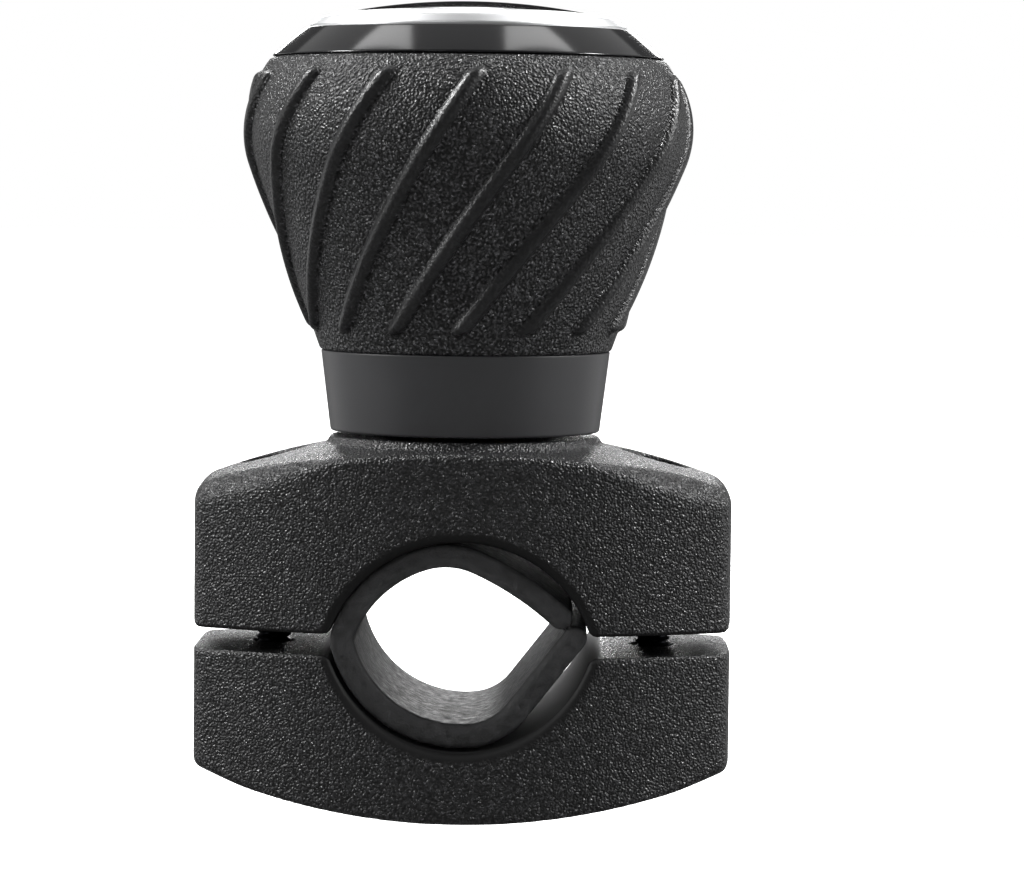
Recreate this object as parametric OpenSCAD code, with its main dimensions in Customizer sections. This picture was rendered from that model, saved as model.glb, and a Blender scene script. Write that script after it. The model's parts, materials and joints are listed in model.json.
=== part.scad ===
// Spinner knob for a wheel rim: a split clamp that carries a freely turning knob.
// The origin is the centre of the rim seat, +Z is the knob's axis and +Y the rim's.

/* [Rim seat] */
// Tube diameter of the rim that the seat is round for
rim_d = 24; // [21:0.5:27]
// Thickness of the rubber liner
liner_t = 2.6; // [2.3:0.1:3.2]
// Length of the liner along the rim
liner_l = 30; // [24:1:33]
// Gap between the two jaws as they are now
jaw_gap = 2.2; // [1.6:0.1:3.4]
// Gap between the two jaws when they sit on the rim
seat_gap = 9.1; // [8:0.1:10.5]

/* [Clamp jaws] */
// Depth of the jaws along the rim, at the middle
jaw_d = 34; // [33:0.5:40]
// Radius of the front and back faces, seen from above
face_r = 60; // [55:1:90]
// Thickness of the upper jaw between the seat and the neck
saddle_t = 10.7; // [10:0.05:14]
// Thickness of the lower jaw under the seat
belly_t = 7.75; // [6:0.25:12]
// Radius of the upper jaw's domed top
crown_r = 81; // [72:1:100]
// Height that the dome would reach over the neck
crown_rise = 0.6; // [0.2:0.1:1]
// Radius of the lower jaw's underside
belly_r = 90; // [75:0.5:115]
// Distance from the seat's wall to a screw's axis
screw_wall = 6.3; // [5.8:0.1:8]
// Width of a jaw outside the screw's axis
ear_w = 8.5; // [6.5:0.1:11]
// Corner radius between the upper jaw's top and its ends
ear_corner_r = 1.9; // [1.2:0.1:4]
// Depth that the four upright end corners are cut back by
end_trim = 0.4; // [0.1:0.05:0.9]
// Depth of the upper jaw's corner bevels
top_bevel = 0.96; // [0.3:0.02:1.4]
// Depth of the lower jaw's corner bevels
low_bevel = 0.6; // [0.3:0.02:1.4]

/* [Clamp screws] */
// Thread diameter of the clamp screws
screw_d = 4; // [3.5:0.1:4.5]
// Length of the clamp screws under the head
screw_l = 25; // [23:1:26]
// Depth of the clamp screws' seats under the neck's top
screw_drop = 11.1; // [10.4:0.1:11.8]
// Head diameter of the clamp screws
screw_head_d = 7; // [6.5:0.1:7.6]
// Head height of the clamp screws
screw_head_h = 4; // [3:0.1:4.6]
// Socket size of the clamp screws, across flats
screw_key = 3; // [2.5:0.5:4]
// Depth of the lower jaw over the clamp nuts
nut_cover = 4.4; // [3:0.1:5.5]
// Size of the clamp nuts, across flats
nut_af = 7; // [6.6:0.1:7.6]
// Height of the clamp nuts
nut_h = 3.2; // [2.4:0.1:4]

/* [Spindle] */
// Diameter of the spindle bolt, and the bore of the bearings
spindle_d = 8; // [7:0.5:9]
// Head diameter of the spindle bolt
bolt_head_d = 13; // [12:0.5:14]
// Head height of the spindle bolt
bolt_head_h = 5; // [4:0.1:5.2]
// Socket size of the spindle bolt, across flats
bolt_key = 5; // [4:0.5:6]
// Size of the lock nut, across flats
lock_af = 13; // [12:0.5:14]
// Height of the lock nut
lock_h = 8; // [6.5:0.25:9]
// Thickness of the washer under the lock nut
washer_t = 1.6; // [1:0.1:2.4]
// Free height between the lock nut and the bezel
lock_room = 3.3; // [2:0.1:5]

/* [Bearings] */
// Outside diameter of both bearings
bearing_od = 22; // [21:0.5:22.5]
// Width of both bearings
bearing_w = 7; // [6.5:0.25:8]
// Ball diameter
ball_d = 3.97; // [3.5:0.01:4.2]
// Balls in each bearing
ball_n = 7; // [6:1:7]
// Play between the balls and what they touch
ball_play = 0.07; // [0.03:0.01:0.1]
// Thickness of the retaining ring
clip_t = 1; // [0.8:0.1:1.4]

/* [Knob] */
// Clear gap between the neck and the turning knob
run_gap = 0.5; // [0.3:0.1:1]
// Height of the smooth collar
collar_h = 9; // [7:0.25:12]
// Radius of the collar at its foot
collar_foot_r = 15; // [14.4:0.1:15.4]
// Radius of the collar under the grip
collar_top_r = 16.1; // [15.8:0.1:17]
// Thickness of the core's floor under the lower bearing
floor_t = 2.1; // [1.6:0.1:3]
// Wall of the core's outer shell
shell_t = 2; // [1.6:0.1:2.4]
// Webs inside the core
web_n = 8; // [5:1:10]
// Thickness of the webs
web_t = 1.6; // [1.2:0.1:2.4]

/* [Grip] */
// Height of the grip sleeve
grip_h = 32.3; // [30:0.1:38]
// Radius of the grip at its foot
grip_foot_r = 16.2; // [16.1:0.1:17]
// Largest radius of the grip between the ribs
grip_max_r = 24.35; // [23.5:0.05:27]
// Height of the shoulder over the widest place
shoulder_h = 7.4; // [6.6:0.1:8.2]
// Radius of the shoulder at the widest place
shoulder_r = 12.2; // [11:0.1:13.4]
// Thickness of the sleeve
sleeve_t = 2.6; // [2.2:0.1:2.8]
// Ribs around the grip
rib_n = 15; // [10:1:18]
// Turn of each rib from top to bottom, in degrees
rib_turn = 54.5; // [30:0.5:70]
// How much harder the ribs turn where the grip is narrow
rib_lead = 1.4; // [0:0.1:2.5]
// Height of the ribs
rib_h = 0.75; // [0.4:0.05:1.2]
// Width of a rib at its root, around the grip
rib_w = 2.35; // [1.8:0.05:3.2]
// Plain stretch of the grip under the ribs
rib_low = 2.1; // [0.6:0.1:3]
// Plain stretch of the grip over the ribs
rib_high = 1.5; // [0.8:0.1:3]

/* [Bezel and cap] */
// Radius of the bezel at its foot
bezel_foot_r = 21.8; // [21.4:0.1:22.4]
// Radius of the bezel at its rim
bezel_rim_r = 18.25; // [17.4:0.05:18.8]
// Height of the bezel
bezel_h = 3.1; // [2.4:0.1:4.4]
// Thickness of the bezel's deck
deck_t = 1.5; // [1.1:0.1:1.8]
// Outside radius of the trim ring
trim_r = 17.6; // [16.4:0.05:17.65]
// Height of the trim ring over the bezel's deck
trim_h = 2.15; // [1.8:0.05:3]
// Width of the slope round the trim ring's outer edge
trim_edge = 0.92; // [0.5:0.02:1.2]
// Radius of the cap inside the trim ring
cap_r = 14.1; // [11:0.1:14.6]
// Rise of the cap's domed face
cap_rise = 1.43; // [0.8:0.01:2.2]

/* [Hidden] */
$fn = 96;

// Clearances
snug = 0.03;
seat_play = 0.1;
liner_play = 0.3;
hole_play = 0.25;
head_play = 0.2;
thread_play = 0.05;
hex_play = 0.1;
over = 1;
far = 60;

// Rim seat: each jaw's half-round, whose centre lies beyond its parting face
bore_r = rim_d / 2 + liner_t + liner_play;
arc_z = (seat_gap - jaw_gap) / 2;
part_z = jaw_gap / 2;
seat_half_w = sqrt(pow(bore_r, 2) - pow(seat_gap / 2, 2));

// Jaws
screw_x = bore_r + screw_wall;
jaw_half_w = screw_x + ear_w;
face_y = jaw_d / 2 - face_r;
ear_half_d = face_y + sqrt(pow(face_r, 2) - pow(jaw_half_w, 2));
end_r = norm([jaw_half_w, ear_half_d]) - end_trim;
neck_top = bore_r - arc_z + saddle_t;
neck_h = 0.75;
neck_flare = 0.25;
neck_round = 0.45;
crown_z = neck_top + crown_rise;
belly_z = -(bore_r - arc_z + belly_t);
// Directions of the bevels' normals: turn from +X, tilt from the vertical
top_bevel_turn = 55;
top_bevel_tilt = 53;
low_bevel_turn = 39;
low_bevel_tilt = 52;

// Liner: a strip that follows both half-rounds, with its two free ends on the +X side. It springs out
// against the upper jaw, and has its play in the lower one. A bend on the -X side joins the two arcs.
liner_top_r = bore_r - seat_play - liner_t / 2;
liner_low_r = liner_top_r - liner_play;
bend_r = liner_t / 2 + 1.55;
bend_z = (pow(liner_top_r - bend_r, 2) - pow(liner_low_r - bend_r, 2)) / (4 * arc_z);
bend_x = sqrt(pow(liner_top_r - bend_r, 2) - pow(arc_z + bend_z, 2));
low_bend_a = atan2(arc_z - bend_z, bend_x);
top_bend_a = atan2(arc_z + bend_z, bend_x);
liner_low_a = 84;
liner_top_a = 108;
liner_step = 7;
tail_r = 0.47 * bore_r;
tail_turn = 46;
tail_l = 0.69 * bore_r;
flap_bend_r = 0.57 * bore_r;
flap_bend_turn = 42;
flap_r = 2.3 * bore_r;
flap_turn = 18;
liner_end_round = 1;

// Clamp screws and nuts
screw_seat_z = neck_top - screw_drop;
nut_z = -part_z - nut_cover - nut_h;
socket_depth = 0.5;

// Spindle and bearing stack, from the neck upwards
head_seat_z = bore_r - arc_z + bolt_head_h + 0.15;
core_z = neck_top + run_gap;
low_bearing_z = core_z + floor_t;
grip_z = core_z + collar_h;
bezel_z = grip_z + grip_h + 0.1;
deck_z = bezel_z + bezel_h - 0.4;
lock_top_z = deck_z - deck_t - lock_room;
washer_z = lock_top_z - lock_h - washer_t;
high_bearing_z = washer_z - bearing_w;
spacer_l = high_bearing_z - low_bearing_z - bearing_w;
bolt_l = lock_top_z - head_seat_z - 0.2;
race_wall = 2.05;
spacer_r = spindle_d / 2 + race_wall;

// Bearings
pitch_r = (spindle_d + bearing_od) / 4;
groove_r = ball_d / 2 + ball_play;
inner_land_r = spacer_r;
outer_land_r = pitch_r + 0.33 * ball_d;
shield_r = outer_land_r + 0.8;
shield_t = 0.3;
shield_in = 0.25;
cage_wall = 0.6;
cage_in = 0.7 * ball_d / 2;

// Core, grip, bezel and cap
widest_h = grip_h - shoulder_h;
hub_r = bearing_od / 2 + 2.4;
collar_round = 0.8;
well_r = bearing_od / 2 + snug;
clip_groove = 0.5;
shoulder_x = grip_max_r - shoulder_r;
grip_lean = atan2(shoulder_x - grip_foot_r, widest_h)
    + asin(shoulder_r / norm([shoulder_x - grip_foot_r, widest_h]));
sleeve_top_w = 3.4;
skirt_r = shoulder_x + sqrt(pow(shoulder_r, 2) - pow(shoulder_h, 2)) - sleeve_top_w;
skirt_t = 1.6;
skirt_h = 3;
lip_h = 1.9;
core_top_z = grip_z + grip_h - lip_h;
hollow_foot = 6.5;
cavity_low_z = grip_z + hollow_foot;
hub_top_z = high_bearing_z + bearing_w + clip_t + 4;
rim_w = 0.45;
deck_hole_r = 4;
trim_wall_h = 0.7;
cap_foot_t = 1.2;
cap_stem_wall = 1;

// Points on an arc about c, from angle a to angle b, n steps
function arc(c, r, a, b, n) = [for (i = [0:n]) c + r * [cos(a + (b - a) * i / n), sin(a + (b - a) * i / n)]];

// Places along the liner's middle line as [x, z, heading]. An arc turns left for a positive turn.
function pose_on_arc(p, r, turn) =
    let (s = turn > 0 ? 1 : -1, c = [p[0], p[1]] + s * r * [-sin(p[2]), cos(p[2])])
    [for (i = [1:ceil(abs(turn) / liner_step)])
        let (h = p[2] + turn * i / ceil(abs(turn) / liner_step))
        [c[0] + s * r * sin(h), c[1] - s * r * cos(h), h]];
function pose_ahead(p, l) = [p[0] + l * cos(p[2]), p[1] + l * sin(p[2]), p[2]];
function last(list) = list[len(list) - 1];

// From the lower strip's foot the line runs one way to the tail and the other way to the flap
foot_pose = [liner_low_r * cos(liner_low_a), arc_z - liner_low_r * sin(liner_low_a), 90 - liner_low_a];
tail_bend = pose_on_arc(foot_pose, tail_r, tail_turn);
tail_end = pose_ahead(last(tail_bend), tail_l);
back_pose = [foot_pose[0], foot_pose[1], foot_pose[2] + 180];
low_run = pose_on_arc(back_pose, liner_low_r, liner_low_a + low_bend_a - 180);
left_bend = pose_on_arc(last(low_run), bend_r, -low_bend_a - top_bend_a);
top_run = pose_on_arc(last(left_bend), liner_top_r, liner_top_a + top_bend_a - 180);
flap_bend = pose_on_arc(last(top_run), flap_bend_r, -flap_bend_turn);
flap_run = pose_on_arc(last(flap_bend), flap_r, -flap_turn);
function turned(p) = [p[0], p[1], p[2] + 180];
function backwards(list) = [for (i = [len(list) - 1:-1:0]) list[i]];
liner_line = concat([turned(tail_end)], [for (p = backwards(tail_bend)) turned(p)], [back_pose],
    low_run, left_bend, top_run, flap_bend, flap_run);
function beside(p, d) = [p[0] - d * sin(p[2]), p[1] + d * cos(p[2])];

// Radius of the grip at height h over its foot, inset towards the axis
function grip_r(h, inset = 0) =
    let (r = shoulder_r - inset, touch_h = widest_h - r * sin(grip_lean))
    h < touch_h ? shoulder_x + r * cos(grip_lean) - (touch_h - h) * tan(grip_lean)
        : shoulder_x + sqrt(pow(r, 2) - pow(h - widest_h, 2));
function grip_touch_h(inset) = widest_h - (shoulder_r - inset) * sin(grip_lean);

// Ribs: heights of the rows of points, the turn reached at each, and the points across one rib
rib_top_h = grip_h - rib_high;
rib_rows = 17;
row_h = concat([0], [for (i = [0:rib_rows]) rib_low + (rib_top_h - rib_low) * (i / rib_rows)],
    [grip_h - rib_high / 2, grip_h]);
function lead(h) = pow(grip_max_r / grip_r(h), rib_lead);
function turn_sum(j, i = 1) = i > j ? 0
    : (row_h[i] - row_h[i - 1]) * (lead(row_h[i]) + lead(row_h[i - 1])) / 2 + turn_sum(j, i + 1);
rib_phase = -90 + 4.4;
turn_low = turn_sum(1);
turn_high = turn_sum(rib_rows + 1);
function row_turn(j) = rib_phase + rib_turn * (turn_sum(j) - turn_high) / (turn_high - turn_low);
rib_across = [-0.5, -0.3, 0, 0.3, 0.5];
rib_form = [0, 0.8, 1, 0.8, 0];
function rib_end(h) = h <= rib_low || h >= rib_top_h ? 0
    : min(1, sqrt(min(h - rib_low, rib_top_h - h) / 2.2));

module half_space(p, turn, tilt) {
    translate(p) rotate([0, tilt, turn]) translate([-far, -far, 0]) cube(2 * far);
}

module four_corners() {
    for (mx = [0, 1], my = [0, 1]) mirror([mx, 0, 0]) mirror([0, my, 0]) children();
}

// Outline of a jaw seen from above
module jaw_plan() {
    intersection() {
        translate([0, face_y]) circle(face_r, $fn = 240);
        translate([0, -face_y]) circle(face_r, $fn = 240);
        circle(end_r, $fn = 240);
        square([2 * jaw_half_w, jaw_d], center = true);
    }
}

// Cuts the four bevels whose depth is measured from the outline's corner at height z
module bevels(z, turn, tilt, depth) {
    n = [sin(tilt) * cos(turn), sin(tilt) * sin(turn), cos(tilt)];
    four_corners() half_space([jaw_half_w, ear_half_d, z] - depth * n, turn, tilt);
}

module hex_prism(af, h) {
    cylinder(r = af / 2 / cos(30), h = h, $fn = 6);
}

module neck() {
    rotate_extrude() polygon([[0, part_z + bore_r / 2], [collar_foot_r + neck_flare, part_z + bore_r / 2],
        [collar_foot_r + neck_flare, neck_top - neck_h], [collar_foot_r, neck_top - neck_round],
        [collar_foot_r - neck_round, neck_top], [0, neck_top]]);
}

module clamp_upper() {
    corner_z = crown_z - crown_r + sqrt(pow(crown_r - ear_corner_r, 2) - pow(jaw_half_w - ear_corner_r, 2));
    corner_drop = (pow(jaw_half_w, 2) + pow(ear_half_d, 2)) / (2 * crown_r);
    corner_x = jaw_half_w - ear_corner_r;
    corner_turn = 62;
    rise = crown_z + over - corner_z - ear_corner_r * sin(corner_turn);
    ear_end = concat([[0, part_z], [jaw_half_w, part_z]],
        arc([corner_x, corner_z], ear_corner_r, 0, corner_turn, 4),
        [[corner_x + ear_corner_r * cos(corner_turn) - rise * tan(corner_turn), crown_z + over], [0, crown_z + over]]);
    color([0.13, 0.13, 0.135]) difference() {
        union() {
            difference() {
                intersection() {
                    translate([0, 0, part_z]) linear_extrude(crown_z) jaw_plan();
                    translate([0, 0, crown_z - crown_r]) sphere(crown_r, $fn = 240);
                    for (m = [0, 1]) mirror([m, 0, 0]) rotate([90, 0, 0])
                        linear_extrude(jaw_d + over, center = true) polygon(ear_end);
                }
                bevels(crown_z - corner_drop, top_bevel_turn, top_bevel_tilt, top_bevel);
                translate([0, 0, neck_top]) cylinder(r = collar_foot_r + neck_flare, h = far);
            }
            neck();
        }
        translate([0, 0, -arc_z]) rotate([90, 0, 0]) cylinder(r = bore_r, h = jaw_d + over, center = true);
        translate([0, 0, neck_top - saddle_t - over]) cylinder(d = spindle_d + 2 * head_play, h = far);
        cylinder(d = bolt_head_d + 2 * head_play, h = head_seat_z);
        for (s = [-1, 1]) translate([s * screw_x, 0, 0]) {
            cylinder(d = screw_d + 2 * hole_play, h = far);
            translate([0, 0, screw_seat_z]) cylinder(d = screw_head_d + 2 * head_play, h = far);
        }
    }
}

module clamp_lower() {
    corner_rise = belly_r - sqrt(pow(belly_r, 2) - pow(jaw_half_w, 2));
    color([0.13, 0.13, 0.135]) difference() {
        intersection() {
            translate([0, 0, belly_z]) linear_extrude(-belly_z - part_z) jaw_plan();
            translate([0, 0, belly_z + belly_r]) rotate([90, 0, 0])
                cylinder(r = belly_r, h = jaw_d + over, center = true, $fn = 240);
        }
        mirror([0, 0, 1]) bevels(-belly_z - corner_rise, low_bevel_turn, low_bevel_tilt, low_bevel);
        translate([0, 0, arc_z]) rotate([90, 0, 0]) cylinder(r = bore_r, h = jaw_d + over, center = true);
        for (s = [-1, 1]) translate([s * screw_x, 0, 0]) {
            translate([0, 0, -far]) cylinder(d = screw_d + 2 * hole_play, h = far);
            translate([0, 0, nut_z + nut_h - far]) hex_prism(nut_af + 2 * hex_play, far);
        }
    }
}

module rim_liner() {
    low_side = [for (p = liner_line) beside(p, liner_t / 2)];
    high_side = [for (p = liner_line) beside(p, -liner_t / 2)];
    tip = last(liner_line);
    root = liner_line[0];
    color([0.09, 0.09, 0.095]) rotate([90, 0, 0]) linear_extrude(liner_l, center = true)
        polygon(concat(low_side,
            [beside(pose_ahead(tip, liner_end_round), liner_t / 4), beside(pose_ahead(tip, liner_end_round), -liner_t / 4)],
            backwards(high_side),
            [beside(pose_ahead(root, -liner_end_round / 2), -liner_t / 4),
                beside(pose_ahead(root, -liner_end_round / 2), liner_t / 4)]));
}

// Socket head screw that hangs from the plane z = 0 under its head
module socket_screw(d, l, head_d, head_h, key, edge) {
    difference() {
        rotate_extrude() polygon([[0, -l], [d / 2 - edge, -l], [d / 2, edge - l], [d / 2, 0], [head_d / 2, 0],
            [head_d / 2, head_h - edge], [head_d / 2 - edge, head_h], [0, head_h]]);
        translate([0, 0, head_h * socket_depth]) hex_prism(key, head_h);
    }
}

// Hex nut on the plane z = 0, with chamfered corners
module hex_nut(af, h, bore) {
    corner = af / 2 / cos(30);
    difference() {
        intersection() {
            hex_prism(af, h);
            cylinder(r1 = af / 2 + h * 0.15, r2 = corner + h * 1.6, h = h);
            cylinder(r1 = corner + h * 1.6, r2 = af / 2 + h * 0.15, h = h);
        }
        translate([0, 0, -over]) cylinder(d = bore, h = h + 2 * over);
    }
}

module clamp_screw(side) {
    color([0.1, 0.1, 0.105]) translate([side * screw_x, 0, screw_seat_z])
        socket_screw(screw_d, screw_l, screw_head_d, screw_head_h, screw_key, 0.35);
}

module clamp_nut(side) {
    color([0.62, 0.63, 0.65]) translate([side * screw_x, 0, nut_z]) hex_nut(nut_af, nut_h, screw_d + 2 * thread_play);
}

// The spindle bolt's head lies in the saddle, under the liner, and its shank stands up through the bearings
module spindle_bolt() {
    color([0.55, 0.56, 0.58]) translate([0, 0, head_seat_z]) mirror([0, 0, 1])
        socket_screw(spindle_d, bolt_l, bolt_head_d, bolt_head_h, bolt_key, 0.6);
}

module tube(r, bore, h) {
    difference() {
        cylinder(r = r, h = h);
        translate([0, 0, -over]) cylinder(r = bore, h = h + 2 * over);
    }
}

module base_spacer() {
    color([0.72, 0.6, 0.32]) translate([0, 0, neck_top])
        tube(spacer_r, spindle_d / 2 + snug, low_bearing_z - neck_top);
}

module inner_spacer() {
    color([0.72, 0.6, 0.32]) translate([0, 0, low_bearing_z + bearing_w])
        tube(spacer_r, spindle_d / 2 + snug, spacer_l);
}

module outer_spacer() {
    color([0.75, 0.76, 0.78]) translate([0, 0, low_bearing_z + bearing_w])
        tube(bearing_od / 2, shield_r + 0.2, spacer_l);
}

module top_washer() {
    color([0.75, 0.76, 0.78]) translate([0, 0, washer_z]) tube(spacer_r, spindle_d / 2 + snug, washer_t);
}

module lock_nut() {
    ring_h = lock_h * 0.2;
    color([0.7, 0.71, 0.73]) translate([0, 0, washer_z + washer_t]) {
        hex_nut(lock_af, lock_h - ring_h, spindle_d + 2 * snug);
        translate([0, 0, lock_h - ring_h]) tube(lock_af / 2 - 0.6, spindle_d / 2 + snug, ring_h);
    }
}

module ball_track(z) {
    translate([0, 0, z + bearing_w / 2]) rotate_extrude() translate([pitch_r, 0]) circle(groove_r);
}

module inner_race(z) {
    color([0.78, 0.79, 0.8]) difference() {
        translate([0, 0, z]) tube(inner_land_r, spindle_d / 2 + snug, bearing_w);
        ball_track(z);
    }
}

module outer_race(z) {
    color([0.78, 0.79, 0.8]) difference() {
        translate([0, 0, z]) tube(bearing_od / 2, outer_land_r, bearing_w);
        ball_track(z);
        for (m = [0, 1]) translate([0, 0, z + m * (bearing_w - shield_in - shield_t)])
            cylinder(r = shield_r, h = shield_in + shield_t);
    }
}

module balls(z) {
    color([0.85, 0.86, 0.88]) for (i = [0:ball_n - 1]) rotate(i * 360 / ball_n)
        translate([pitch_r, 0, z + bearing_w / 2]) sphere(d = ball_d);
}

module cage(z) {
    h = ball_d + 2 * cage_wall;
    color([0.6, 0.55, 0.42]) difference() {
        translate([0, 0, z + (bearing_w - h) / 2]) tube(pitch_r + cage_in / 2, pitch_r - cage_in / 2, h);
        for (i = [0:ball_n - 1]) rotate(i * 360 / ball_n)
            translate([pitch_r, 0, z + bearing_w / 2]) sphere(r = groove_r);
    }
}

module shields(z) {
    color([0.68, 0.69, 0.71]) for (m = [0, 1])
        translate([0, 0, z + shield_in + m * (bearing_w - 2 * shield_in - shield_t)])
            tube(shield_r - snug, inner_land_r + 0.25, shield_t);
}

// Internal ring that snaps into the core's groove and holds the upper bearing down
module retaining_ring() {
    ring_r = well_r + clip_groove - 0.05;
    ring_in = ring_r - 1.7;
    lug_r = 1.15;
    lug_turn = 11;
    color([0.35, 0.35, 0.37]) translate([0, 0, high_bearing_z + bearing_w]) difference() {
        union() {
            difference() {
                tube(ring_r, ring_in, clip_t);
                linear_extrude(3 * clip_t, center = true) polygon([[0, 0],
                    2 * ring_r * [cos(lug_turn), sin(lug_turn)], 2 * ring_r * [cos(lug_turn), -sin(lug_turn)]]);
            }
            for (s = [-1, 1]) rotate(s * (lug_turn + 5)) translate([ring_in, 0, 0]) cylinder(r = lug_r, h = clip_t);
        }
        for (s = [-1, 1]) rotate(s * (lug_turn + 5)) translate([ring_in, 0, -over])
            cylinder(r = lug_r / 2, h = clip_t + 2 * over);
    }
}

// Outside of the core: the bare collar, then the wall that the sleeve hugs
module core_outline() {
    top_h = core_top_z - grip_z;
    touch_h = grip_touch_h(sleeve_t);
    polygon(concat([[0, core_z], [collar_foot_r - collar_round, core_z]],
        arc([collar_foot_r - collar_round, core_z + collar_round], collar_round, -60, 0, 2),
        [[collar_top_r, grip_z], [grip_r(0, sleeve_t), grip_z]],
        [for (i = [0:8]) let (h = touch_h + (top_h - touch_h) * i / 8) [grip_r(h, sleeve_t), grip_z + h]],
        [[0, core_top_z]]));
}

// Ring-shaped hollow between the core's hub and its shell
module core_hollow() {
    inset = sleeve_t + shell_t;
    low_h = cavity_low_z - grip_z;
    touch_h = grip_touch_h(inset);
    bezel_h0 = core_top_z - skirt_h + lip_h - grip_z;
    polygon(concat([[hub_r, cavity_low_z], [grip_r(low_h, inset), cavity_low_z]],
        [for (i = [0:5]) let (h = touch_h + (bezel_h0 - touch_h) * i / 5) [min(grip_r(h, inset), skirt_r + 2), grip_z + h]],
        [[skirt_r + snug, grip_z + bezel_h0], [skirt_r + snug, core_top_z + over], [hub_r, core_top_z + over]]));
}

module knob_core() {
    color([0.22, 0.22, 0.225]) difference() {
        rotate_extrude() core_outline();
        translate([0, 0, core_z - over]) cylinder(r = spacer_r + 2, h = far);
        translate([0, 0, low_bearing_z]) cylinder(r = well_r, h = far);
        translate([0, 0, high_bearing_z + bearing_w]) cylinder(r = well_r + clip_groove, h = clip_t + 0.1);
        translate([0, 0, hub_top_z]) cylinder(r = skirt_r - 2, h = far);
        difference() {
            rotate_extrude() core_hollow();
            for (i = [0:web_n - 1]) rotate(i * 360 / web_n)
                translate([0, -web_t / 2, cavity_low_z - over]) cube([skirt_r * 2, web_t, hub_top_z - cavity_low_z]);
        }
    }
}

// Outer skin of the grip: rings of points that carry the ribs round the shoulder and down the cone
module grip_skin() {
    cells = len(rib_across) + 1;
    cols = rib_n * cells;
    rows = len(row_h);
    points = [for (j = [0:rows - 1], k = [0:rib_n - 1], c = [0:cells - 1])
        let (h = row_h[j], r0 = grip_r(h), bare = c == cells - 1,
            a = row_turn(j) + (k + (bare ? 0.5 : 0)) * 360 / rib_n + (bare ? 0 : rib_across[c] * rib_w / r0 * 180 / PI),
            r = r0 + (bare ? 0 : rib_h * rib_form[c] * rib_end(h)))
        [r * cos(a), r * sin(a), grip_z + h]];
    sides = [for (j = [0:rows - 2], i = [0:cols - 1]) let (n = (i + 1) % cols)
        each [[j * cols + i, (j + 1) * cols + i, (j + 1) * cols + n], [j * cols + i, (j + 1) * cols + n, j * cols + n]]];
    polyhedron(points, concat(sides, [[for (i = [0:cols - 1]) i]],
        [[for (i = [cols - 1:-1:0]) (rows - 1) * cols + i]]));
}

module grip_sleeve() {
    inset = sleeve_t - snug;
    top_h = core_top_z - grip_z;
    touch_h = grip_touch_h(inset);
    color([0.12, 0.12, 0.125]) difference() {
        grip_skin();
        rotate_extrude() polygon(concat([[0, grip_z - over], [grip_r(0, inset), grip_z - over], [grip_r(0, inset), grip_z]],
            [for (i = [0:8]) let (h = touch_h + (top_h - touch_h) * i / 8) [grip_r(h, inset), grip_z + h]],
            [[skirt_r + snug, core_top_z], [skirt_r + snug, grip_z + grip_h + over], [0, grip_z + grip_h + over]]));
    }
}

module bezel() {
    rim_z = bezel_z + bezel_h;
    color([0.06, 0.06, 0.07]) rotate_extrude() polygon([[deck_hole_r, deck_z - deck_t], [skirt_r - skirt_t, deck_z - deck_t],
        [skirt_r - skirt_t, bezel_z - skirt_h], [skirt_r, bezel_z - skirt_h], [skirt_r, bezel_z], [bezel_foot_r, bezel_z],
        [bezel_rim_r, rim_z], [bezel_rim_r - rim_w, rim_z], [bezel_rim_r - rim_w, deck_z], [deck_hole_r, deck_z]]);
}

module trim_ring() {
    inner_r = cap_r + seat_play;
    color([0.86, 0.87, 0.88]) rotate_extrude() polygon([[inner_r, deck_z], [trim_r, deck_z],
        [trim_r, deck_z + trim_wall_h], [trim_r - trim_edge, deck_z + trim_wall_h + trim_edge],
        [inner_r, deck_z + trim_h]]);
}

module top_cap() {
    dome_r = (pow(cap_r, 2) + pow(cap_rise, 2)) / (2 * cap_rise);
    edge_z = deck_z + trim_h - 0.05;
    color([0.05, 0.05, 0.055]) difference() {
        union() {
            intersection() {
                translate([0, 0, deck_z]) cylinder(r = cap_r, h = trim_h + cap_rise);
                translate([0, 0, edge_z + cap_rise - dome_r]) sphere(dome_r, $fn = 240);
            }
            translate([0, 0, deck_z - deck_t - 0.8]) cylinder(r = deck_hole_r - snug, h = deck_t + over);
            translate([0, 0, deck_z - deck_t - 0.8]) cylinder(r1 = deck_hole_r - 0.3, r2 = deck_hole_r + 0.25, h = 0.75);
        }
        translate([0, 0, deck_z - deck_t - over]) cylinder(r = deck_hole_r - cap_stem_wall, h = deck_t + over);
    }
}

clamp_upper();
clamp_lower();
rim_liner();
clamp_screw(-1);  // clamp_screw_left
clamp_screw(1);  // clamp_screw_right
clamp_nut(-1);  // clamp_nut_left
clamp_nut(1);  // clamp_nut_right
spindle_bolt();
base_spacer();
inner_spacer();
outer_spacer();
top_washer();
lock_nut();
inner_race(low_bearing_z);  // lower_bearing_inner_race
outer_race(low_bearing_z);  // lower_bearing_outer_race
balls(low_bearing_z);  // lower_bearing_balls
cage(low_bearing_z);  // lower_bearing_cage
shields(low_bearing_z);  // lower_bearing_shields
inner_race(high_bearing_z);  // upper_bearing_inner_race
outer_race(high_bearing_z);  // upper_bearing_outer_race
balls(high_bearing_z);  // upper_bearing_balls
cage(high_bearing_z);  // upper_bearing_cage
shields(high_bearing_z);  // upper_bearing_shields
retaining_ring();
knob_core();
grip_sleeve();
bezel();
trim_ring();
top_cap();
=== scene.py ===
import json
from math import acos, asin, atan, atan2, ceil, copysign, cos, degrees, hypot, pi, radians, sin, sqrt, tan

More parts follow.
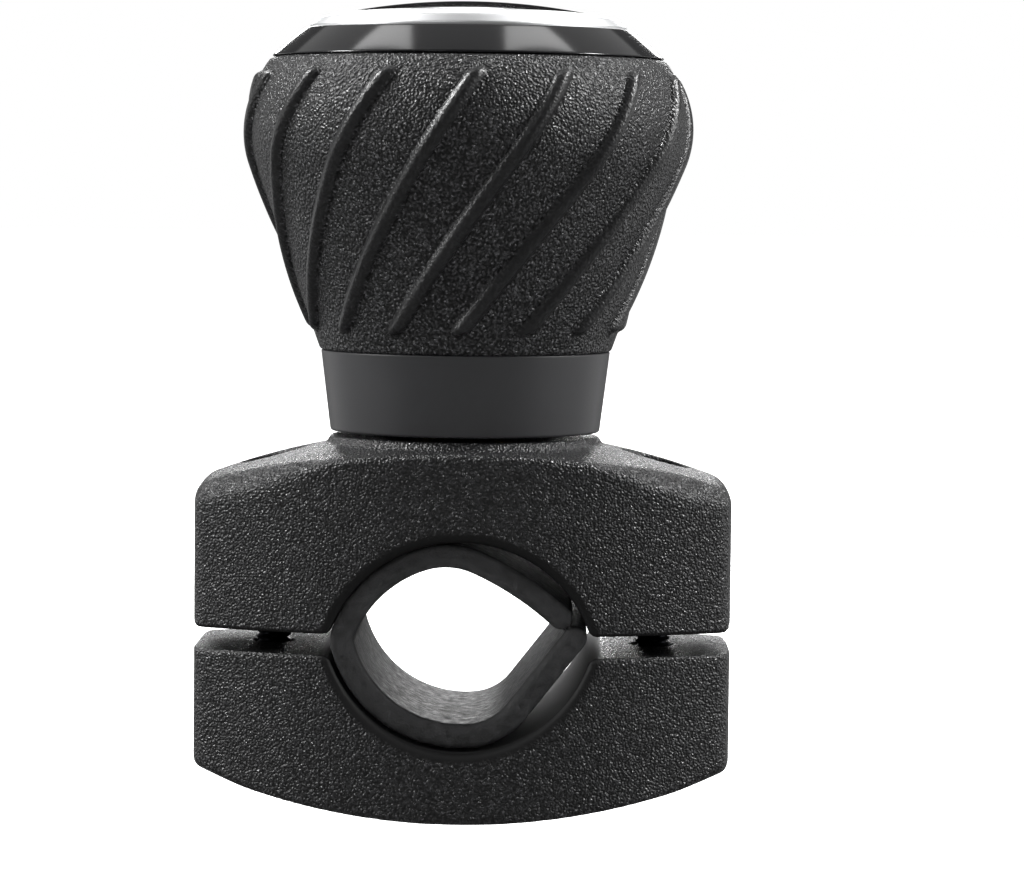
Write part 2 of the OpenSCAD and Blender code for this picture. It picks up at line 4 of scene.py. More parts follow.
import bpy
import numpy as np
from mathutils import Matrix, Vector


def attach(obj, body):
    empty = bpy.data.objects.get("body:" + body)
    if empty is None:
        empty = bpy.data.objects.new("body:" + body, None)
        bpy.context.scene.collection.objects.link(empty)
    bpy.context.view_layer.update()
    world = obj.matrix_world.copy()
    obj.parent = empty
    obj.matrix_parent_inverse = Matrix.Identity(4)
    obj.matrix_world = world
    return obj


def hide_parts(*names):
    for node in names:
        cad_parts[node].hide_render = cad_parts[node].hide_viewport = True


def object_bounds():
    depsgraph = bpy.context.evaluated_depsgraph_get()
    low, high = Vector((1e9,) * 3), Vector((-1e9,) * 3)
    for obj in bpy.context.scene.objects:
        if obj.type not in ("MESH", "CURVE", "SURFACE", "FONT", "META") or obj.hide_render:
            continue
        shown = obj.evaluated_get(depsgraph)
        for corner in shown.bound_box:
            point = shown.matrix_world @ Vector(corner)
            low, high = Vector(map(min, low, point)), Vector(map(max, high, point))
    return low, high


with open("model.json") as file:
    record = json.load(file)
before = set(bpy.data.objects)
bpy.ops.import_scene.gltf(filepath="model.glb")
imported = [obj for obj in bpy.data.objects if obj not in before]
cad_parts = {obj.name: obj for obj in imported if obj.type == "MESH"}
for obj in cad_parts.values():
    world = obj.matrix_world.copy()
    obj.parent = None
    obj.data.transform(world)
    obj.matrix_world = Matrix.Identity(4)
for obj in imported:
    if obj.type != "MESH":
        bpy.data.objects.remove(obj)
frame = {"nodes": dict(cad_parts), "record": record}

import openvdb
from mathutils import Matrix, Vector

cad_low, cad_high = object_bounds()
scene = bpy.context.scene
MM = 0.001

# ---- Sizes of the part, in millimetres ----

rim_d, liner_t, liner_l, liner_play = 24, 2.6, 30, 0.3
jaw_gap, seat_gap, jaw_travel = 2.2, 9.1, 8.5
jaw_d, face_r, saddle_t, belly_t = 34, 60, 10.7, 7.75
crown_r, crown_rise, belly_r = 81, 0.6, 90
screw_wall, ear_w, ear_corner_r, end_trim = 6.3, 8.5, 1.9, 0.4
top_bevel, low_bevel = 0.96, 0.6
top_bevel_turn, top_bevel_tilt = radians(55), radians(53)
low_bevel_turn, low_bevel_tilt = radians(39), radians(52)
screw_d, screw_l, screw_head_d, screw_head_h, screw_key, screw_drop = 4, 25, 7, 4, 3, 11.1
nut_cover, nut_af = 4.4, 7
spindle_d, bolt_head_d, bolt_head_h, bolt_key = 8, 13, 5, 5
lock_h, washer_t, lock_room = 8, 1.6, 3.3
bearing_od, bearing_w, clip_t = 22, 7, 1
run_gap, collar_h, collar_foot_r, collar_top_r, floor_t, shell_t = 0.5, 9, 15, 16.1, 2.1, 2
web_n, web_t = 8, 1.6
grip_h, grip_foot_r, grip_max_r, shoulder_h, shoulder_r, sleeve_t = 32.3, 16.2, 24.35, 7.4, 12.2, 2.6
rib_n, rib_turn, rib_lead, rib_h, rib_w, rib_low, rib_high = 15, 54.5, 1.4, 0.75, 2.35, 2.1, 1.5
bezel_foot_r, bezel_rim_r, bezel_h, deck_t = 21.8, 18.25, 3.1, 1.5
trim_r, trim_h, trim_wall_h, trim_edge, cap_r, cap_rise = 17.6, 2.15, 0.7, 0.92, 14.1, 1.43
snug, seat_play, hole_play, head_play, hex_play = 0.03, 0.1, 0.25, 0.2, 0.1
neck_over, neck_h, neck_taper = 0.25, 0.75, 0.35
head_lift, bolt_short, bezel_gap, deck_drop = 0.15, 0.2, 0.1, 0.4
hub_wall, hub_over, core_lip, cavity_floor, skirt_inset, hollow_step = 2.4, 4, 2.95, 6.5, 3.4, 2

bore_r = rim_d / 2 + liner_t + liner_play
arc_z = (seat_gap - jaw_gap) / 2
part_z = jaw_gap / 2
screw_x = bore_r + screw_wall
jaw_half_w = screw_x + ear_w
face_y = jaw_d / 2 - face_r
ear_half_d = face_y + sqrt(face_r ** 2 - jaw_half_w ** 2)
end_r = hypot(jaw_half_w, ear_half_d) - end_trim
neck_top = bore_r - arc_z + saddle_t
neck_r = collar_foot_r + neck_over
crown_z = neck_top + crown_rise
belly_z = -(bore_r - arc_z + belly_t)
screw_seat_z = neck_top - screw_drop
nut_top_z = -part_z - nut_cover
head_seat_z = bore_r - arc_z + bolt_head_h + head_lift
core_z = neck_top + run_gap
low_bearing_z = core_z + floor_t
grip_z = core_z + collar_h
bezel_z = grip_z + grip_h + bezel_gap
deck_z = bezel_z + bezel_h - deck_drop
lock_top_z = deck_z - deck_t - lock_room
high_bearing_z = lock_top_z - lock_h - washer_t - bearing_w
bolt_l = lock_top_z - head_seat_z - bolt_short
hub_r = bearing_od / 2 + hub_wall
well_r = bearing_od / 2 + snug
core_hole_r = bearing_od / 2 - core_lip
widest_h = grip_h - shoulder_h
shoulder_x = grip_max_r - shoulder_r
grip_lean = (atan2(shoulder_x - grip_foot_r, widest_h)
             + asin(shoulder_r / hypot(shoulder_x - grip_foot_r, widest_h)))
skirt_r = shoulder_x + sqrt(shoulder_r ** 2 - shoulder_h ** 2) - skirt_inset
skirt_t, skirt_h, lip_h = 1.6, 3, 1.9
core_top_z = grip_z + grip_h - lip_h
cavity_low_z = grip_z + cavity_floor
hub_top_z = high_bearing_z + bearing_w + clip_t + hub_over
rim_w, deck_hole_r, cap_stem_wall, cap_drop = 0.45, 4, 1, 0.05


# ---- Meshes ----

def shown(name, data):
    """Puts an object with this data in the scene."""
    thing = bpy.data.objects.new(name, data)
    scene.collection.objects.link(thing)
    return thing


def piece(name, mesh, body, slot, *stands_for):
    """Puts a finished mesh in the scene as a piece that rides on a body and stands for CAD nodes."""
    mesh.name = name
    thing = shown(name, mesh)
    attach(thing, body)
    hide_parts(*stands_for)


def point_mesh(points, faces=()):
    mesh = bpy.data.meshes.new("form")
    mesh.from_pydata([tuple(p) for p in np.asarray(points, float) * MM], [], faces)
    return mesh


def round_and(a, b, r):
    """Distance to what lies inside both a and b, with the edge between them rounded by r."""
    return np.minimum(np.maximum(a, b), -r) + np.hypot(np.maximum(a + r, 0), np.maximum(b + r, 0))


def round_or(a, b, r):
    return -round_and(-a, -b, r)


def round_cut(a, b, r):
    return round_and(a, -b, r)


def moulded_mesh(distance, low, high, cell, material, bare=None):
    """Closed mesh of the surface where distance(x, y, z) is nought, made on a grid and then settled onto it.
    Where bare(x, y, z) is 1, the points are marked as free of grain."""
    axes = [np.arange(a - 2 * cell, b + 3 * cell, cell) for a, b in zip(low, high)]
    x, y, z = axes[0][:, None, None], axes[1][None, :, None], axes[2][None, None, :]
    field = np.broadcast_to(distance(x, y, z), [len(a) for a in axes])
    outside = 10.0
    grid = openvdb.FloatGrid(outside)
    grid.copyFromArray(np.ascontiguousarray(field, np.float32))
    points, quads = grid.convertToQuads(isovalue=0.0)[:2]
    points = np.asarray(points, float) * cell + [a[0] for a in axes]
    step, rounds, least_slope = 0.02, 4, 0.2
    for _ in range(rounds):
        slope = np.stack([(distance(*(points + offset).T) - distance(*(points - offset).T)) / (2 * step)
                          for offset in np.eye(3) * step], 1)
        move = -distance(*points.T)[:, None] * slope / np.maximum((slope ** 2).sum(1), least_slope)[:, None]
        reach = np.linalg.norm(move, axis=1, keepdims=True)
        points = points + move * np.minimum(1, cell / 2 / np.maximum(reach, 1e-9))
    quads = np.asarray(quads, int)
    middle = points[quads].mean(1)
    normal = np.cross(points[quads[:, 2]] - points[quads[:, 0]], points[quads[:, 3]] - points[quads[:, 1]])
    if (middle * normal).sum() < 0:
        quads = quads[:, ::-1]
    mesh = point_mesh(points, quads.tolist())
    if bare:
        mesh.attributes.new("bare", "FLOAT", "POINT").data.foreach_set("value", bare(*points.T).astype(np.float32))
    mesh.shade_smooth()
    mesh.materials.append(material)
    return mesh


def rounded(corners, closed, steps=6):
    """Section line [r, z] through corners (r, z, radius), each rounded by its radius."""
    line, count, most = [], len(corners), 0.49
    for i, (r, z, radius) in enumerate(corners):
        here = np.array([r, z], float)
        if not radius or (not closed and i in (0, count - 1)):
            line.append(here)
            continue
        back = np.array(corners[i - 1][:2], float) - here
        on = np.array(corners[(i + 1) % count][:2], float) - here
        back_l, on_l = np.linalg.norm(back), np.linalg.norm(on)
        back, on = back / back_l, on / on_l
        half = acos(np.clip(back @ on, -1, 1)) / 2
        reach = min(radius / tan(half), most * back_l, most * on_l)
        radius = reach * tan(half)
        centre = here + (back + on) / np.linalg.norm(back + on) * radius / sin(half)
        start, end = here + back * reach - centre, here + on * reach - centre
        sweep = acos(np.clip(start @ end / radius ** 2, -1, 1))
        for k in range(steps + 1):
            a, b = sin((1 - k / steps) * sweep), sin(k / steps * sweep)
            line.append(centre + (start * a + end * b) / sin(sweep))
    return line


def arc(centre, radius, start, end, steps):
    """Corners (r, z, 0) along an arc, angles in degrees."""
    angles = np.radians(np.linspace(start, end, steps + 1))
    return [(centre[0] + radius * cos(a), centre[1] + radius * sin(a), 0) for a in angles]


# ---- Node trees ----

def feed(node, inputs):
    """Links each of a node's inputs that is given as a socket, and sets the others."""
    for key, value in inputs.items():
        if isinstance(value, bpy.types.NodeSocket):
            node.id_data.links.new(value, node.inputs[key])
        else:
            node.inputs[key].default_value = value


def put(tree, kind, inputs=None, **settings):
    """Adds a node with its settings and its inputs."""
    node = tree.nodes.new(kind)
    for name, value in settings.items():
        setattr(node, name, value)
    feed(node, inputs or {})
    return node


def sums(tree, operation, *values):
    """A Math node's result."""
    return put(tree, "ShaderNodeMath", dict(enumerate(values)), operation=operation).outputs[0]


def plus(tree, a, b):
    return sums(tree, "ADD", a, b)


def minus(tree, a, b):
    return sums(tree, "SUBTRACT", a, b)


def times(tree, a, b):
    return sums(tree, "MULTIPLY", a, b)


def over(tree, a, b):
    return sums(tree, "DIVIDE", a, b)


def form_tree(name, inputs):
    """An empty geometry tree with named inputs. Returns it with what it is given and its output node."""
    tree = bpy.data.node_groups.new(name, "GeometryNodeTree")
    tree.interface.new_socket("Geometry", in_out="OUTPUT", socket_type="NodeSocketGeometry")
    tree.interface.new_socket("Section", in_out="INPUT", socket_type="NodeSocketGeometry")
    for label, kind in inputs.items():
        tree.interface.new_socket(label, in_out="INPUT", socket_type="NodeSocket" + kind)
    return tree, put(tree, "NodeGroupInput").outputs, put(tree, "NodeGroupOutput")


def swept_grid(tree, given):
    """Grid with a row for each point of the section line and a column for each step round the axis."""
    size = put(tree, "GeometryNodeAttributeDomainSize", {"Geometry": given["Section"]})
    rows = plus(tree, size.outputs["Point Count"], given["Closed"])
    grid = put(tree, "GeometryNodeMeshGrid", {"Vertices X": plus(tree, given["Columns"], 1.0), "Vertices Y": rows})
    index = put(tree, "GeometryNodeInputIndex").outputs[0]
    column = sums(tree, "FLOOR", over(tree, plus(tree, index, 0.5), rows))
    row = minus(tree, index, times(tree, column, rows))
    row = sums(tree, "ROUND", sums(tree, "MODULO", row, size.outputs["Point Count"]))
    return grid, column, row


def sampled(tree, given, row, name=None):
    """What the section line holds at a row: a stored value by name, or else its place."""
    if name:
        value, kind = put(tree, "GeometryNodeInputNamedAttribute", {"Name": name}, data_type="FLOAT"), "FLOAT"
    else:
        value, kind = put(tree, "GeometryNodeInputPosition"), "FLOAT_VECTOR"
    sample = put(tree, "GeometryNodeSampleIndex", {"Geometry": given["Section"], "Value": value.outputs[0],
                                                   "Index": row}, data_type=kind)
    return sample.outputs[0]


def placed(tree, form, angle, radius, height):
    """The grid bent round the axis, with its seam and its poles closed."""
    place = put(tree, "ShaderNodeCombineXYZ", {"X": times(tree, radius, sums(tree, "COSINE", angle)),
                                               "Y": times(tree, radius, sums(tree, "SINE", angle)), "Z": height})
    moved = put(tree, "GeometryNodeSetPosition", {"Geometry": form, "Position": place.outputs[0]})
    merged = put(tree, "GeometryNodeMergeByDistance", {"Geometry": moved.outputs[0], "Distance": 0.002 * MM})
    return merged.outputs[0]


def ended(tree, given, result, form):
    """Realised, with its material."""
    real = put(tree, "GeometryNodeRealizeInstances", {"Geometry": form})
    dressed = put(tree, "GeometryNodeSetMaterial", {"Geometry": real.outputs[0], "Material": given["Material"]})
    tree.links.new(dressed.outputs[0], result.inputs["Geometry"])
    return tree


def turned_tree():
    """A section line turned round the axis. Its points may carry a thread, grooves or a hexagon."""
    tree, given, result = form_tree("turned_form", {
        "Columns": "Int", "Closed": "Int", "Thread Pitch": "Float", "Thread Depth": "Float",
        "Grooves": "Float", "Groove Depth": "Float", "Material": "Material"})
    grid, column, row = swept_grid(tree, given)
    angle = times(tree, over(tree, column, given["Columns"]), 2 * pi)
    place = put(tree, "ShaderNodeSeparateXYZ", {0: sampled(tree, given, row)})
    turns = minus(tree, over(tree, place.outputs["Z"], given["Thread Pitch"]), over(tree, angle, 2 * pi))
    # Distance from the thread's crest as a share of half its pitch, with a flat at the crest and at the root
    crest_flat, root_flat = 0.15, 0.8
    flank = sums(tree, "ABSOLUTE", minus(tree, times(tree, sums(tree, "FRACT", turns), 2.0), 1.0))
    depth = put(tree, "ShaderNodeMapRange", {"Value": flank, "From Min": crest_flat, "From Max": root_flat}).outputs[0]
    thread = times(tree, times(tree, depth, given["Thread Depth"]), sampled(tree, given, row, "thread"))
    half_wave = times(tree, angle, over(tree, given["Grooves"], 2.0))
    wave = sums(tree, "ABSOLUTE", sums(tree, "SINE", half_wave))
    groove = times(tree, minus(tree, 1.0, wave), given["Groove Depth"])
    groove = times(tree, groove, sampled(tree, given, row, "groove"))
    sixth = pi / 3
    off_flat = minus(tree, sums(tree, "MODULO", angle, sixth), sixth / 2)
    corner = minus(tree, over(tree, 1.0, sums(tree, "COSINE", off_flat)), 1.0)
    hexagon = sums(tree, "MULTIPLY_ADD", corner, sampled(tree, given, row, "hexagon"), 1.0)
    radius = times(tree, minus(tree, minus(tree, place.outputs["X"], thread), groove), hexagon)
    return ended(tree, given, result, placed(tree, grid.outputs["Mesh"], angle, radius, place.outputs["Z"]))


def ribbed_tree():
    """The grip's sleeve: its section turned round the axis, with ribs that wind round it and end round."""
    tree, given, result = form_tree("ribbed_grip", {
        "Columns": "Int", "Closed": "Int", "Ribs": "Float", "Rib Height": "Float", "Rib Width": "Float",
        "Material": "Material"})
    grid, column, row = swept_grid(tree, given)
    share = over(tree, column, given["Columns"])
    angle = plus(tree, times(tree, share, 2 * pi), sampled(tree, given, row, "turn"))
    place = put(tree, "ShaderNodeSeparateXYZ", {0: sampled(tree, given, row)})
    # Way round the grip from the nearest rib's middle, then the way past the middle of the rib's round end
    step = times(tree, share, given["Ribs"])
    off = minus(tree, step, sums(tree, "ROUND", step))
    off = times(tree, off, over(tree, 2 * pi, given["Ribs"]))
    across = times(tree, off, place.outputs["X"])
    past = sampled(tree, given, row, "past")
    away = sums(tree, "SQRT", plus(tree, times(tree, across, across), times(tree, past, past)))
    near = over(tree, away, times(tree, given["Rib Width"], 0.5))
    # A rib's section is a full, round crest with steep flanks
    fullness = 0.8
    crest = sums(tree, "MAXIMUM", minus(tree, 1.0, times(tree, near, near)), 0.0)
    crest = sums(tree, "POWER", crest, fullness)
    rise = times(tree, crest, given["Rib Height"])
    radius = sums(tree, "MULTIPLY_ADD", rise, sampled(tree, given, row, "out"), place.outputs["X"])
    height = sums(tree, "MULTIPLY_ADD", rise, sampled(tree, given, row, "up"), place.outputs["Z"])
    marked = put(tree, "GeometryNodeStoreNamedAttribute",
                 {"Geometry": grid.outputs["Mesh"], "Name": "rib", "Value": crest}, data_type="FLOAT", domain="POINT")
    return ended(tree, given, result, placed(tree, marked.outputs[0], angle, radius, height))


def guarded(line, closed, guard=0.1):
    """The line with a point close to each end of its long straights, which keeps their shading flat."""
    line = [np.asarray(p, float) for p in line]
    out = []
    for i, p in enumerate(line):
        out.append(p)
        if i == len(line) - 1 and not closed:
            break
        q = line[(i + 1) % len(line)]
        length = np.linalg.norm(q - p)
        if length > 5 * guard:
            out += [p + (q - p) * guard / length, q - (q - p) * guard / length]
    return out


sharp_angle = radians(32)


def grown_mesh(line, tree, inputs, **stored):
    """Plain mesh that a geometry tree makes from a section line [r, z] and the values stored on its points."""
    section = point_mesh([(r, 0, z) for r, z in line])
    for label in stored:
        values = np.asarray(stored[label], np.float32)
        section.attributes.new(label, "FLOAT", "POINT").data.foreach_set("value", values)
    maker = shown("maker", section)
    form = maker.modifiers.new("form", "NODES")
    form.node_group = tree
    for socket in tree.interface.items_tree:
        if socket.name in inputs:
            form[socket.identifier] = inputs[socket.name]
    mesh = bpy.data.meshes.new_from_object(maker.evaluated_get(bpy.context.evaluated_depsgraph_get()))
    bpy.data.objects.remove(maker)
    corners = np.array([[mesh.vertices[i].co[:] for i in face.vertices[:3]] for face in mesh.polygons])
    if np.einsum("ij,ij->i", corners[:, 0], np.cross(corners[:, 1], corners[:, 2])).sum() < 0:
        mesh.flip_normals()
    mesh.shade_smooth()
    mesh.set_sharp_from_angle(angle=sharp_angle)
    return mesh


def turned_mesh(line, material, closed=True, columns=192, pitch=1.0, thread_depth=0.0, grooves=0, groove_depth=0.0,
                **marks):
    """A piece turned round the knob's axis. The marks say where on the line its thread, grooves and hexagon are."""
    stored = {label: marks.get(label, np.zeros(len(line))) for label in ("thread", "groove", "hexagon")}
    inputs = {"Columns": columns, "Closed": int(closed), "Thread Pitch": pitch * MM, "Thread Depth": thread_depth * MM,
              "Grooves": float(grooves), "Groove Depth": groove_depth * MM, "Material": material}
    return grown_mesh(line, turned_form, inputs, **stored)


# ---- Clamp jaws ----

def corner_bevel(x, y, z, corner_z, turn, tilt, depth):
    """Distance to the bevel on a jaw's four corners, cut back by depth from the corners at corner_z."""
    return ((np.abs(x) - jaw_half_w) * (sin(tilt) * cos(turn)) + (np.abs(y) - ear_half_d) * (sin(tilt) * sin(turn))
            + (z - corner_z) * cos(tilt) + depth)


def faced(body, x, y):
    """The body cut to its curved faces and its round ends."""
    body = round_and(body, np.hypot(x, np.abs(y) - face_y) - face_r, face_round)
    return round_and(body, np.hypot(x, y) - end_r, end_round)


def shafts(x, y, radius):
    """Distance to a round hole on each clamp screw's axis."""
    return np.hypot(np.abs(x) - screw_x, y) - radius


def upper_jaw(x, y, z):
    off_axis = np.hypot(x, y)
    dome = np.sqrt(x ** 2 + y ** 2 + (z - crown_z + crown_r) ** 2) - crown_r
    body = round_and(dome, np.abs(x) - jaw_half_w, ear_corner_r)
    corner_drop = (jaw_half_w ** 2 + ear_half_d ** 2) / (2 * crown_r)
    bevel = corner_bevel(x, y, z, crown_z - corner_drop, top_bevel_turn, top_bevel_tilt, top_bevel)
    body = round_and(body, bevel, bevel_soft)
    body = faced(np.maximum(body, z - neck_top), x, y)
    neck_side = off_axis - neck_r + np.clip(z - neck_top + neck_h, 0, 1) * neck_taper
    neck = round_and(neck_side, z - neck_top, neck_round)
    body = round_or(body, neck, neck_fillet)
    low_end = round_and(np.abs(x) - jaw_half_w, part_z - z, end_corner)
    body = round_and(np.maximum(body, low_end), part_z - z, part_round)
    body = round_cut(body, np.hypot(x, z + arc_z) - bore_r, bore_round)
    body = round_cut(body, np.maximum(off_axis - bolt_head_d / 2 - head_play, z - head_seat_z), hole_round)
    body = round_cut(body, off_axis - spindle_d / 2 - head_play, hole_round)
    body = round_cut(body, shafts(x, y, screw_d / 2 + hole_play), hole_round)
    return round_cut(body, np.maximum(shafts(x, y, screw_head_d / 2 + head_play), screw_seat_z - z), hole_round)


def fading(distance, border):
    """1 within a smooth border, then falling to 0."""
    return np.clip((1 - distance / border) * border_w / fade_w + 0.5, 0, 1)


def upper_bare(x, y, z):
    return np.maximum(fading(np.hypot(x, z + arc_z) - bore_r, border_w), fading(z - part_z, upper_border_w))


def lower_bare(x, y, z):
    below = -part_z - z
    return np.maximum(fading(np.hypot(x, z - arc_z) - bore_r, border_w),
                      fading(below, lower_border_w) * (below > face_skin))


def lower_jaw(x, y, z):
    belly = np.hypot(x, z - belly_z - belly_r) - belly_r
    body = round_and(belly, np.abs(x) - jaw_half_w, belly_round)
    corner_rise = belly_r - sqrt(belly_r ** 2 - jaw_half_w ** 2)
    bevel = corner_bevel(x, y, -z, -belly_z - corner_rise, low_bevel_turn, low_bevel_tilt, low_bevel)
    body = faced(round_and(body, bevel, bevel_soft), x, y)
    body = round_and(body, z + part_z, low_part_round)
    body = round_cut(body, np.hypot(x, z - arc_z) - bore_r, bore_round)
    body = round_cut(body, shafts(x, y, screw_d / 2 + hole_play), hole_round)
    side = np.abs(x) - screw_x
    apothem = nut_af / 2 + hex_play
    pocket = np.maximum(np.abs(y), np.abs(side) * cos(pi / 6) + np.abs(y) / 2) - apothem
    return round_cut(body, np.maximum(pocket, z - nut_top_z), hole_round)


# ---- Liner ----

bend_inside, low_a, top_a = 1.55, 84, 108
tail_r, tail_turn, tail_l = 0.47 * bore_r, 46, 0.69 * bore_r
flap_r, flap_turn, tip_r, tip_turn = 0.57 * bore_r, 42, 2.3 * bore_r, 18


def liner_path():
    """The strip's middle line as an array of [x, z, heading], from the tail to the flap's tip."""
    top_r = bore_r - snug - liner_t / 2
    low_r = bore_r - seat_play - liner_play - liner_t / 2
    bend_r = liner_t / 2 + bend_inside
    bend_z = ((top_r - bend_r) ** 2 - (low_r - bend_r) ** 2) / (4 * arc_z)
    bend_x = sqrt((top_r - bend_r) ** 2 - (arc_z + bend_z) ** 2)
    low_bend_a = degrees(atan2(arc_z - bend_z, bend_x))
    top_bend_a = degrees(atan2(arc_z + bend_z, bend_x))

    def on_arc(p, r, turn, step=2.0):
        side = copysign(1, turn)
        count = ceil(abs(turn) / step)
        h = np.radians(p[2] + turn * np.arange(1, count + 1) / count)
        start = radians(p[2])
        x = p[0] - side * r * sin(start) + side * r * np.sin(h)
        z = p[1] + side * r * cos(start) - side * r * np.cos(h)
        return [tuple(v) for v in np.stack([x, z, np.degrees(h)], 1)]

    a = radians(low_a)
    foot = (low_r * cos(a), arc_z - low_r * sin(a), 90 - low_a)
    tail = on_arc(foot, tail_r, tail_turn)
    x, z, h = tail[-1]
    tail_end = (x + tail_l * cos(radians(h)), z + tail_l * sin(radians(h)), h)
    run = [(foot[0], foot[1], foot[2] + 180)]
    run += on_arc(run[-1], low_r, low_a + low_bend_a - 180)
    run += on_arc(run[-1], bend_r, -low_bend_a - top_bend_a)
    run += on_arc(run[-1], top_r, top_a + top_bend_a - 180)
    run += on_arc(run[-1], flap_r, -flap_turn)
    run += on_arc(run[-1], tip_r, -tip_turn)
    back = [(p[0], p[1], p[2] + 180) for p in [tail_end] + tail[::-1]]
    return np.array(back + run)


def rim_strip(x, y, z):
    """Distance to the liner: a strip round its middle line, with a bevel inside each end face."""
    shape = np.broadcast(x, z).shape
    px, pz = np.broadcast_to(x, shape), np.broadcast_to(z, shape)
    best, inner = np.full(shape, 1e9), np.zeros(shape)
    for a, b in zip(strip_line[:-1], strip_line[1:]):
        dx, dz = b[0] - a[0], b[1] - a[1]
        along = np.clip(((px - a[0]) * dx + (pz - a[1]) * dz) / (dx * dx + dz * dz), 0, 1)
        ox, oz = px - a[0] - along * dx, pz - a[1] - along * dz
        gap = np.hypot(ox, oz)
        side = np.where(ox * dz - oz * dx > 0, gap, -gap)
        nearer = gap < best
        best, inner = np.where(nearer, gap, best), np.where(nearer, side, inner)
    slant, bevel_round, edge_round = 0.55, 0.05, 0.3
    strip = best - liner_t / 2
    end = np.abs(y) - liner_l / 2
    bevel = (end + (inner - liner_t / 6) * slant) / hypot(1, slant)
    return round_and(strip, round_and(end, bevel, bevel_round), edge_round)


# ---- Grip ----

def grip_r(h, inset=0.0):
    """Radius of the grip at height h over its foot, inset towards the axis."""
    r = shoulder_r - inset
    touch_h = grip_touch_h(inset)
    cone = shoulder_x + r * cos(grip_lean) - (touch_h - h) * tan(grip_lean)
    return cone if h < touch_h else shoulder_x + sqrt(r ** 2 - (h - widest_h) ** 2)


def grip_touch_h(inset):
    return widest_h - (shoulder_r - inset) * sin(grip_lean)


def grip_line():
    """Section line of the sleeve with, for each point, what the ribs need to know there."""
    # Even rows, with a few more in the rounded ends, so that the grip has just under 200,000 triangles
    rows = 118
    heights = np.linspace(0, grip_h, rows + 1)
    heights = np.sort(np.r_[heights, 0.05, 0.15, 0.4, grip_h - 0.12, grip_h - 0.04])
    outside = np.array([(grip_r(h), h) for h in heights])
    run = np.r_[0, np.cumsum(np.linalg.norm(np.diff(outside, axis=0), axis=1))]
    slope = np.gradient(outside, axis=0)
    slope /= np.linalg.norm(slope, axis=1)[:, None]
    lead = (grip_max_r / outside[:, 0]) ** rib_lead
    turned = np.r_[0, np.cumsum(np.diff(heights) * (lead[1:] + lead[:-1]) / 2)]
    low, high = np.interp([rib_low, grip_h - rib_high], heights, turned)
    turn = rib_phase + rib_turn * (np.clip(turned, low, high) - high) / (high - low)
    first, last = np.interp([rib_low, grip_h - rib_high], heights, run) + np.array([1, -1]) * rib_w / 2
    past = np.maximum(0, np.maximum(first - run, run - last))
    foot_round, top_round = 0.3, 0.45
    low_gap, high_gap = np.maximum(0, foot_round - heights), np.maximum(0, top_round - (grip_h - heights))
    outside[:, 0] -= foot_round - np.sqrt(foot_round ** 2 - low_gap ** 2)
    outside[:, 0] -= top_round - np.sqrt(top_round ** 2 - high_gap ** 2)
    inset = sleeve_t - snug
    top_h, touch_h = core_top_z - grip_z, grip_touch_h(inset)
    inside = [(skirt_r + snug, grip_h), (skirt_r + snug, top_h)]
    inside += [(grip_r(h, inset), h) for h in np.linspace(top_h, touch_h, 9)] + [(grip_r(0, inset), 0)]
    inside = np.array(guarded(inside, False))
    line = np.concatenate([outside, inside]) + [0, grip_z]
    bare, far_off = np.zeros(len(inside)), 9
    return line, {
        "turn": np.radians(np.r_[turn, np.linspace(turn[-1], turn[0], len(inside))]),
        "past": np.r_[past, bare + far_off] * MM,
        "out": np.r_[slope[:, 1], bare],
        "up": np.r_[-slope[:, 0], bare]}


# ---- Materials ----

grain_dull, grain_gloss = 0.64, 0.12


def linear(hex_colour):
    """Linear RGBA of an sRGB hex colour."""
    parts = [int(hex_colour[i:i + 2], 16) / 255 for i in (1, 3, 5)]
    return tuple(c / 12.92 if c <= 0.04045 else ((c + 0.055) / 1.055) ** 2.4 for c in parts) + (1,)


def blank(name):
    """A new material: its tree, its Principled shader and its object coordinates."""
    material = bpy.data.materials.new(name)
    material.use_nodes = True
    tree = material.node_tree
    return material, tree, tree.nodes["Principled BSDF"], put(tree, "ShaderNodeTexCoord").outputs["Object"]


def pattern(tree, where, size, detail=2.0):
    """Noise whose features are about size millimetres wide."""
    return put(tree, "ShaderNodeTexNoise", {"Vector": where, "Scale": 1 / (size * MM), "Detail": detail}).outputs[0]


def between(tree, value, low, high, start=0.0, end=1.0):
    return put(tree, "ShaderNodeMapRange", {"Value": value, "From Min": start, "From Max": end,
                                            "To Min": low, "To Max": high}).outputs[0]


def two_colours(tree, value, dark, light):
    return put(tree, "ShaderNodeMix", {0: value, 6: linear(dark), 7: linear(light)}, data_type="RGBA").outputs[2]


def set_shader(shader, **inputs):
    """Feeds the shader's inputs, named with _ for a space."""
    feed(shader, {name.replace("_", " "): value for name, value in inputs.items()})


def bumped(tree, height, depth, strength=1.0):
    """Normal of a surface with this height times depth millimetres."""
    return put(tree, "ShaderNodeBump", {"Height": height, "Strength": strength, "Distance": depth * MM}).outputs[0]


def grain_with_painted_light(shader, grain, depth, painted_highlight, ior, roughness):
    """Dresses a moulded grain: its furrows are painted near-black as shade and are dull, and its tops are painted paler
    as highlight and are glossier.
    """
    tree, contrast = shader.id_data, 3.0
    # Painted light: the colour runs from near-black painted shade in the furrows to a paler painted highlight on the
    # grain's tops
    colour = two_colours(tree, sums(tree, "POWER", grain, contrast), "#010102", painted_highlight)
    set_shader(shader, Base_Color=colour, IOR=ior, Roughness=roughness, Normal=bumped(tree, grain, depth))


